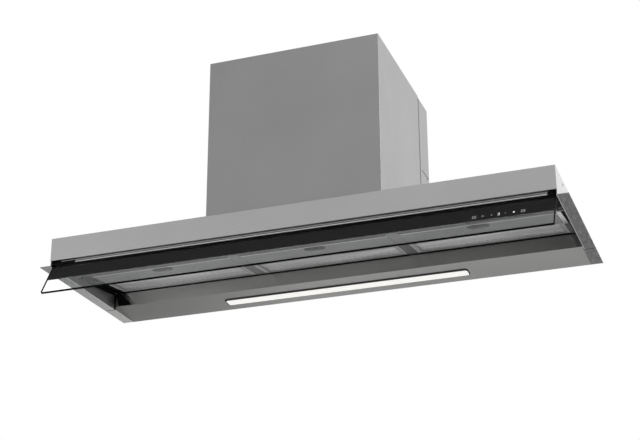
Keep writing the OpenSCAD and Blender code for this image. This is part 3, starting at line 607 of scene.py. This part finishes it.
def mark(x, y, w, h, turned=0.0):
    bpy.ops.mesh.primitive_plane_add(size=1, location=(x, symbol_y + y, symbol_z),
                                     rotation=(pi, 0, turned))
    piece = bpy.context.object
    piece.scale = (w, h, 1)
    bpy.ops.object.transform_apply(location=True, rotation=True, scale=True)
    return piece


def dot(x, y, r):
    bpy.ops.mesh.primitive_circle_add(vertices=20, radius=r, fill_type="NGON", rotation=(pi, 0, 0),
                                      location=(x, symbol_y + y, symbol_z))
    piece = bpy.context.object
    bpy.ops.object.transform_apply(location=True, rotation=True, scale=True)
    return piece


def joined(name, pieces):
    bpy.ops.object.select_all(action="DESELECT")
    for piece in pieces:
        piece.select_set(True)
    bpy.context.view_layer.objects.active = pieces[0]
    if len(pieces) > 1:
        bpy.ops.object.join()
    bpy.context.object.name = name
    return bpy.context.object


cell = 0.0025
square = cell * 0.62
blade_out = 0.0013
dim_marks = []
for key_x in (0.3036, 0.3791):
    for row in (-1, 0, 1):
        for column in (-1, 0, 1):
            dim_marks.append(mark(key_x + column * cell, row * cell, square, square))
for blade in range(3):
    swing = blade * 2 * pi / 3
    dim_marks.append(mark(0.3169 + blade_out * cos(swing), blade_out * sin(swing), 0.0022, 0.0009,
                          -swing))
dim_marks.append(mark(0.3305, 0, 0.0022, 0.0013))
dim_marks.append(mark(0.3518, 0, 0.0022, 0.0006))
dim_marks.append(mark(0.3518, 0, 0.0006, 0.0022))
dim_keys = joined("touch_keys", dim_marks)
settle(dim_keys, visor_turn)
finish_piece(dim_keys, dim_white[0], "visor")
digit_x = 0.3414
bar_l = 0.0026
lit_marks = [mark(digit_x, row * bar_l, bar_l, 0.0006) for row in (-1, 0, 1)]
lit_marks.append(mark(digit_x + bar_l / 2, bar_l / 2, 0.0006, bar_l))
lit_marks.append(mark(digit_x + bar_l / 2, -bar_l / 2, 0.0006, bar_l))
lit_marks.append(dot(0.3650, 0, 0.0014))
lit_keys = joined("touch_lit_keys", lit_marks)
settle(lit_keys, visor_turn)
finish_piece(lit_keys, lit_white[0], "visor")

green_board = moulded("green_board", (0.02, 0.13, 0.07), 0.35)
paint_node("touch_board", green_board)
cover = from_node("touch_cover", "touch_housing")
soften(cover, 0.0004)
finish_piece(cover, black_plastic, "visor", "touch_cover")

# Grease filters: a frame pressed from thin stainless sheet, its edges rolled over, with an oval latch
# recess in the smooth front border, rimmed by a moulded shell. Painted onto the frame: highlights
# along the rolled edges, shade in the recess, a grey band of shade along the front edge and a black
# one along the rear, and a darker steel for the front border than for the rest, as painted light.
# The window holds crimped layers of expanded aluminium.
slope = radians(7.06)
filter_front = Vector((0, 0.1005, 0.015))
filter_pitch = 0.28
filter_w = 0.259
filter_l = 0.1339
side_border = 0.007
front_border = 0.068
rear_border = 0.007
rear_shade_l = 0.0035
front_shade_l = 0.0098
rolled_highlight_l = 0.0128
rolled_highlight_w = 0.0013
cup_half = 0.0188
cup_near = 0.0128
cup_far = 0.0252
cup_rim = 0.0003
strand = 0.0008
# Frame sheet, front border under the glass: darker tone as painted shade.
frame_shaded_steel = brushed_steel("frame_shaded_steel", (0.35, 0.35, 0.35), 0.5, along_hood, 0.12)
# Painted highlight for the rolled edges.
rolled_edge_highlight = brushed_steel("rolled_edge_highlight", (0.95, 0.95, 0.95), 0.4, along_hood, 0.1)
# The same sheet beyond the front border: lighter tone as painted light.
frame_lit_steel = brushed_steel("frame_lit_steel", (0.50, 0.50, 0.50), 0.5, along_hood, 0.15)
for made in (frame_shaded_steel, rolled_edge_highlight, frame_lit_steel):
    set_input(made, "Metallic", 0.4)
# Grey band along the filters' front edge: painted shade.
front_edge_shade = brushed_steel("front_edge_shade", (0.13, 0.13, 0.13), 0.45, along_hood)
# Dark plastic of the latches, also painted into the frame's recess as painted shade.
latch_plastic = moulded("latch_plastic", (0.07, 0.07, 0.073))
shell_plastic = moulded("shell_plastic", (0.055, 0.055, 0.056))
set_input(shell_plastic, "Specular IOR Level", 0.3)
# Black band along the filters' rear edge: painted shade.
rear_edge_shade = moulded("rear_edge_shade", (0.006, 0.006, 0.006), 0.6)
mesh_metal, mesh_tree, mesh_shader = new_material("mesh_metal", (0.7, 0.7, 0.7), 1.0, 0.4)
mesh_cloud = spread(mesh_tree, object_noise(mesh_tree, 45, (0.12, 1, 1), 3), 0, 1)
tinted(mesh_tree, mesh_shader, (0.7, 0.7, 0.7), mesh_cloud, 0.3)
bumped(mesh_tree, mesh_shader, object_noise(mesh_tree, 900, (1, 1, 1), 2), 0.2, 0.0003)
wool_metal, wool_tree, wool_shader = new_material("wool_metal", (0.72, 0.72, 0.72), 1.0, 0.5)
wool_cloud = spread(wool_tree, object_noise(wool_tree, 35, (0.1, 1, 1), 4), 0, 1)
tinted(wool_tree, wool_shader, (0.72, 0.72, 0.72), wool_cloud, 0.35)
bumped(wool_tree, wool_shader, object_noise(wool_tree, 700, (1, 1, 1), 3), 0.6, 0.0008)

window_lap = 0.004
window_w = filter_w - 2 * side_border + window_lap
window_l = filter_l - front_border - rear_border + window_lap
window_y = front_border + (window_l - window_lap) / 2
wave = 0.0145


def expanded_layer(name, long_way, short_way, height, crimp):
    """Diamonds of one expanded sheet, cut to the window and crimped."""
    count = int(window_w / long_way + window_l / short_way) + 2
    bpy.ops.mesh.primitive_grid_add(x_subdivisions=count, y_subdivisions=count, size=count)
    layer = bpy.context.object
    layer.name = name
    layer.rotation_euler = (0, 0, pi / 4)
    bpy.ops.object.transform_apply(location=True, rotation=True, scale=True)
    layer.scale = (long_way / 2 ** 0.5, short_way / 2 ** 0.5, 1)
    layer.location = (0, window_y, height)
    bpy.ops.object.transform_apply(location=True, rotation=True, scale=True)
    sides = ((window_w / 2, 0, (1, 0, 0)), (-window_w / 2, 0, (-1, 0, 0)),
             (0, window_y + window_l / 2, (0, 1, 0)), (0, window_y - window_l / 2, (0, -1, 0)))
    for edge_x, edge_y, way in sides:
        edit(layer, "FACE")
        bpy.ops.mesh.select_all(action="SELECT")
        bpy.ops.mesh.bisect(plane_co=(edge_x, edge_y, 0), plane_no=way, clear_outer=True)
        object_mode()
    for point in layer.data.vertices:
        point.co.z += crimp * sin(point.co.y * 2 * pi / wave)
    wires = layer.modifiers.new("strands", "WIREFRAME")
    wires.thickness = strand
    wires.use_even_offset = False
    bpy.ops.object.modifier_apply(modifier=wires.name)
    return layer


low_layer = expanded_layer("low_layer", 0.0076, 0.0042, 0.0027, 0.0004)
high_layer = expanded_layer("high_layer", 0.0046, 0.0070, 0.0040, 0.0004)
bpy.ops.mesh.primitive_grid_add(x_subdivisions=110, y_subdivisions=44, size=1)
wool = bpy.context.object
wool.scale = (window_w, window_l, 1)
wool.location = (0, window_y, 0.0052)
bpy.ops.object.transform_apply(location=True, rotation=True, scale=True)
for point in wool.data.vertices:
    point.co.z += 0.0003 * sin(point.co.y * 900) * cos(point.co.x * 700)
low_layer.data.materials.append(mesh_metal)
high_layer.data.materials.append(mesh_metal)
wool.data.materials.append(wool_metal)
layers = joined("filter_layers", [low_layer, high_layer, wool])


def slot_ring(y, half_w, half_l):
    """A ring of edges with straight sides and round ends."""
    bpy.ops.mesh.primitive_circle_add(vertices=48, radius=half_l)
    ring = bpy.context.object
    for point in ring.data.vertices:
        if abs(point.co.x) > 0.0001:
            point.co.x += (half_w - half_l) * (1 if point.co.x > 0 else -1)
        point.co.y += y
    return ring


shell_t = 0.0006
shell = joined("latch_shell", [slot_ring(0.0233, 0.0187, 0.0105), slot_ring(0.0190, 0.0174, 0.0049)])
edit(shell, "EDGE")
bpy.ops.mesh.select_all(action="SELECT")
bpy.ops.mesh.bridge_edge_loops()
object_mode()
thick = shell.modifiers.new("thick", "SOLIDIFY")
thick.thickness = shell_t
thick.offset = 0
bpy.ops.object.modifier_apply(modifier=thick.name)
edit(shell, "FACE")
bpy.ops.mesh.select_all(action="SELECT")
bpy.ops.mesh.normals_make_consistent(inside=False)
object_mode()
for point in shell.data.vertices:
    point.co.z -= shell_t / 2
soften(shell, 0.0001)

for side, step in (("left", -1), ("centre", 0), ("right", 1)):
    body = "filter_" + side
    start = filter_front + Vector((step * filter_pitch, 0, 0))
    lies = Matrix.Translation(start) @ Matrix.Rotation(slope, 4, "X")
    along_filter = lies.to_3x3() @ Vector((0, 1, 0))
    rim = from_node("filter_frame_" + side, "filter_rim_" + side)
    for cut_y in (filter_l - rear_shade_l, front_border, front_shade_l, rolled_highlight_l):
        cut_across(rim, lies @ Vector((0, cut_y, 0)), along_filter)
    for cut_x in (rolled_highlight_w - filter_w / 2, filter_w / 2 - rolled_highlight_w):
        cut_across(rim, lies @ Vector((cut_x, 0, 0)), (1, 0, 0))
    soften(rim, 0.0006, 3)
    rim.data.materials.clear()
    for made in (frame_shaded_steel, latch_plastic, rear_edge_shade, front_edge_shade, rolled_edge_highlight, frame_lit_steel):
        rim.data.materials.append(made)
    unslope = lies.inverted()
    for face in rim.data.polygons:
        at = unslope @ face.center
        in_cup = abs(at.x) < cup_half and cup_near < at.y < cup_far and at.z > cup_rim
        # The rear edge band: painted shade.
        if at.y > filter_l - rear_shade_l:
            face.material_index = 2
        # The latch recess: painted shade.
        elif in_cup:
            face.material_index = 1
        # The front edge band: painted shade.
        elif at.y < front_shade_l:
            face.material_index = 3
        # Front line and the sides beyond the front border: painted highlight.
        elif at.y < rolled_highlight_l or (abs(at.x) > filter_w / 2 - rolled_highlight_w and at.y > front_border):
            face.material_index = 4
        # Borders beyond the front one: the lighter copy, painted light.
        elif at.y > front_border:
            face.material_index = 5
    finish_piece(rim, None, body, "filter_frame_" + side)
    mesh = copy_of(layers, "filter_weave_" + side)
    settle(mesh, lies)
    finish_piece(mesh, None, body, "filter_mesh_" + side)
    ring = copy_of(shell, "latch_shell_" + side)
    settle(ring, lies)
    finish_piece(ring, shell_plastic, body)
    catch = from_node("latch_" + side, "latch_plate_" + side)
    soften(catch, 0.0004)
    finish_piece(catch, latch_plastic, "latch_" + side, "latch_" + side)
bpy.data.objects.remove(layers)
bpy.data.objects.remove(shell)

# Bars between and beside the filters: dull folded sheet between them, an extruded rail at each end
# wall, bright aluminium on the right and, on the left, the dull steel as painted shade. The rounded
# long edges catch the light.
bar_dull = brushed_steel("bar_dull", (0.32, 0.32, 0.32), 0.4, across_hood)
for side in ("left", "right"):
    divider = from_node("separator_" + side, "filter_bar_" + side)
    soften(divider, 0.0011, 3)
    finish_piece(divider, bar_dull, "housing", "separator_" + side)
    end_rail = from_node("side_rail_" + side, "end_rail_" + side)
    soften(end_rail, 0.0004)
    # The left rail takes the dull steel instead of aluminium: painted shade.
    finish_piece(end_rail, aluminium if side == "right" else bar_dull, "housing", "side_rail_" + side)

# Pads under the end rails, painted shade: a black one along the whole left rail, a shorter grey one
# on the rear of the right rail.
# Near black, for pieces that stand in for shade.
shade_pad_black = moulded("shade_pad_black", (0.006, 0.006, 0.006), 0.8, 900, 0.3)
set_input(shade_pad_black, "Specular IOR Level", 0.1)
pad_t = 0.0005
rail_near = 0.4101
rail_far = 0.4170


def filter_plane(y):
    """Height of the filters' underside at a place along the depth."""
    return filter_front.z + (y - filter_front.y) * tan(slope)


def rail_pad(name, sign, start, end):
    near_x, far_x = sorted((sign * rail_near, sign * rail_far))
    pad = block(name, (near_x, start, -pad_t), (far_x, end, 0))
    for point in pad.data.vertices:
        point.co.z += filter_plane(point.co.y)
    soften(pad, 0.0002)
    return pad


shade_pad_grey = moulded("shade_pad_grey", (0.14, 0.14, 0.14), 0.8, 900, 0.3)
finish_piece(rail_pad("rail_pad_left", -1, 0.104, 0.2345), shade_pad_black, "housing")
finish_piece(rail_pad("rail_pad_right", 1, 0.172, 0.2345), shade_pad_grey, "housing")

# Black bands on the inside of the end walls, beside the filters: painted shade. Their lower edge
# follows the filters' slope, and they stay below the wall's screw holes.
band_drop = 0.0047
band_top = 0.0388
band_end = 0.2304
tray_wall_top = 0.0335
bands = []
for sign in (-1, 1):
    near_x, far_x = sorted((sign * 0.4290, sign * 0.4296))
    band = block("wall_band", (near_x, 0.104, 0), (far_x, band_end, band_top))
    for point in band.data.vertices:
        if point.co.z < 0.001:
            point.co.z = filter_plane(point.co.y) - band_drop
    soften(band, 0.0002)
    rear = block("wall_band_rear", (near_x, band_end, tray_wall_top), (far_x, 0.2660, band_top))
    soften(rear, 0.0002)
    bands += [band, rear]
# The bands stand in for shade on the walls.
finish_piece(joined("wall_bands", bands), shade_pad_black, "housing")

# Light tray: one folded sheet whose sloped panel carries the light, its cheeks bent up and its
# strip ends in line with the end panels' strips. To the right its panel mirrors a lighter room and
# its front wall a darker one, which the steels' colours follow.
tray_front = 0.2354
strip_side = 0.4298


def graded_steel(name, colour, swing, end):
    """Brushed steel that grows lighter or darker by swing from the left end to the place end."""
    made, tree, shader = new_material(name, colour, 1.0, 0.3)
    place = tree.nodes.new("ShaderNodeTexCoord")
    parts = tree.nodes.new("ShaderNodeSeparateXYZ")
    ramp = tree.nodes.new("ShaderNodeMapRange")
    ramp.inputs["From Min"].default_value = -0.43
    ramp.inputs["From Max"].default_value = end
    tree.links.new(place.outputs["Object"], parts.inputs[0])
    tree.links.new(parts.outputs["X"], ramp.inputs["Value"])
    tinted(tree, shader, colour, ramp.outputs["Result"], swing)
    bumped(tree, shader, object_noise(tree, 1800, along_hood), 0.06, 0.0002)
    return made


tray_steel = graded_steel("tray_steel", (0.58, 0.58, 0.57), 0.172, 0.1)
wall_steel = graded_steel("wall_steel", (0.56, 0.56, 0.55), -0.42, 0.43)
tray = from_node("light_tray", "tray_sheet")
soften(tray, 0.00025)
tray.data.materials.clear()
for made in (tray_steel, panel_steel, wall_steel):
    tray.data.materials.append(made)
for face in tray.data.polygons:
    at = face.center
    if abs(at.x) > strip_side and at.z < strip_top:
        face.material_index = 1
    elif face.normal.y < -0.9 and at.y < tray_front + 0.0005:
        face.material_index = 2
finish_piece(tray, None, "housing", "light_tray")

# Black strips that stand in for shade: one along the top of the tray's wall where the filters end,
# one in each corner where the tray meets an end panel, and a wedge in the left corner shaped to the
# shade there.
# Near black, for pieces that are painted shade.
shade_black = moulded("shade_black", (0.004, 0.004, 0.004), 0.7)
set_input(shade_black, "Specular IOR Level", 0.1)
rest = block("wall_top_shade_strip", (-0.427, 0.2349, 0.0300), (0.427, 0.2353, 0.0315))
soften(rest, 0.00015)
corners = []
for sign in (-1, 1):
    near_x, far_x = sorted((sign * 0.4291, sign * 0.4296))
    corner = block("corner_strip", (near_x, 0.2306, 0.0016), (far_x, 0.2347, 0.0300))
    soften(corner, 0.00015)
    corners.append(corner)
# Wedge of painted shade in the left corner.
shade_wedge = block("corner_shade_wedge", (-0.4290, 0.2346, 0.0065), (-0.3974, 0.2353, 0.0300))
shade_wedge_mid = Vector((-0.42, 0.235, 0.02))
for point in shade_wedge.data.vertices:
    if point.co.x > shade_wedge_mid.x and point.co.z > shade_wedge_mid.z:
        point.co.x = -0.4181
    elif point.co.x < shade_wedge_mid.x and point.co.z < shade_wedge_mid.z:
        point.co.x = -0.4230
soften(shade_wedge, 0.00015)
corners.append(shade_wedge)
finish_piece(joined("shade_strips", [rest] + corners), shade_black, "housing")

# Light: an aluminium channel over the opening, a strip of diodes, and a milky lens, lit, that a
# black seal holds in the panel.
lit_lens, lens_tree, lens_shader = new_material("lit_lens", (0.3, 0.3, 0.295), 0.0, 0.35)
lens_shader.inputs["Emission Color"].default_value = (1, 0.985, 0.95, 1)
lens_tree.links.new(spread(lens_tree, object_noise(lens_tree, 45, (1, 0.1, 0.1), 1), 0.74, 0.78),
                    lens_shader.inputs["Emission Strength"])
seal_rubber = moulded("seal_rubber", (0.012, 0.012, 0.012), 0.6)
seal = from_node("led_gasket", "lens_seal")
soften(seal, 0.0004)
finish_piece(seal, seal_rubber, "housing", "led_gasket")
lens = from_node("led_diffuser", "light_lens")
soften(lens, 0.0003)
finish_piece(lens, lit_lens, "housing", "led_diffuser")
paint_node("led_profile", aluminium)
paint_node("led_board", green_board)
pale_plastic = moulded("pale_plastic", (0.72, 0.73, 0.73), 0.4)
driver = from_node("led_driver", "light_driver")
soften(driver, 0.0012, 3)
finish_piece(driver, pale_plastic, "housing", "led_driver")

# Motor box: smooth zinc-coated sheet, a front wrap with folded corners and a rear cover set inside
# it, a black strip in each seam between them as painted shade, and a flat top that carries the
# outlet.
box_fold_r = 0.0008
box_steel = brushed_steel("box_steel", (0.46, 0.46, 0.46), 0.45, up_and_down, 0.03, 0.03)
for node, name, corner_y in (("box_front", "box_wrap", 0.0134), ("box_rear", "box_cover", 0.3162)):
    shell = from_node(node, name)
    pick_edges(shell, lambda a, b: abs(a.z - b.z) > 0.15 and near(a.y, corner_y) and near(b.y, corner_y))
    round_picked(box_fold_r, 4)
    soften(shell, 0.00025)
    finish_piece(shell, box_steel, "housing", node)
lid = from_node("box_top", "box_lid")
soften(lid, 0.0003)
finish_piece(lid, box_steel, "housing", "box_top")
# Black strips in the seams: painted shade.
seams = []
for sign in (-1, 1):
    near_x, far_x = sorted((sign * 0.1503, sign * 0.1515))
    seam = block("seam_strip", (near_x, 0.2512, 0.0525), (far_x, 0.2552, 0.3405))
    soften(seam, 0.0003)
    seams.append(seam)
finish_piece(joined("seam_strips", seams), shade_black, "housing")

# Fan: two moulded halves of a volute screwed along their flange, a drum of curved blades on the
# motor's shaft, and the motor on a three-armed bracket at the right inlet.
grey_plastic = moulded("grey_plastic", (0.055, 0.06, 0.065))
for name in ("scroll_left", "scroll_right"):
    paint_node(name, grey_plastic)
for name in ("impeller_disc", "impeller_ring_left", "impeller_ring_right", "impeller_blades_left",
             "impeller_blades_right"):
    paint_node(name, black_plastic)
paint_node("motor", aluminium)
paint_node("motor_bracket", aluminium)
paint_node("motor_shaft", pin_steel)
paint_node("capacitor", pale_plastic)

# Outlet: a moulded collar for the duct with two flaps on one axle, held down by four screws.
collar = from_node("outlet_collar", "duct_collar")
soften(collar, 0.0004)
finish_piece(collar, grey_plastic, "housing", "outlet_collar")
for side in ("front", "rear"):
    paint_node("flap_" + side, grey_plastic)
paint_node("flap_axle", pin_steel)
paint_node("collar_screws", pin_steel)

# Electrics on the canopy: a pale moulded box with a lid, its board, and a black gland for the lead.
tub = from_node("electronics_box", "control_tub")
soften(tub, 0.0006, 3)
finish_piece(tub, pale_plastic, "housing", "electronics_box")
tub_lid = from_node("electronics_cover", "control_lid")
soften(tub_lid, 0.0006, 3)
finish_piece(tub_lid, pale_plastic, "housing", "electronics_cover")
paint_node("power_board", green_board)
gland = from_node("cable_gland", "lead_gland")
soften(gland, 0.0004)
finish_piece(gland, black_plastic, "housing", "cable_gland")
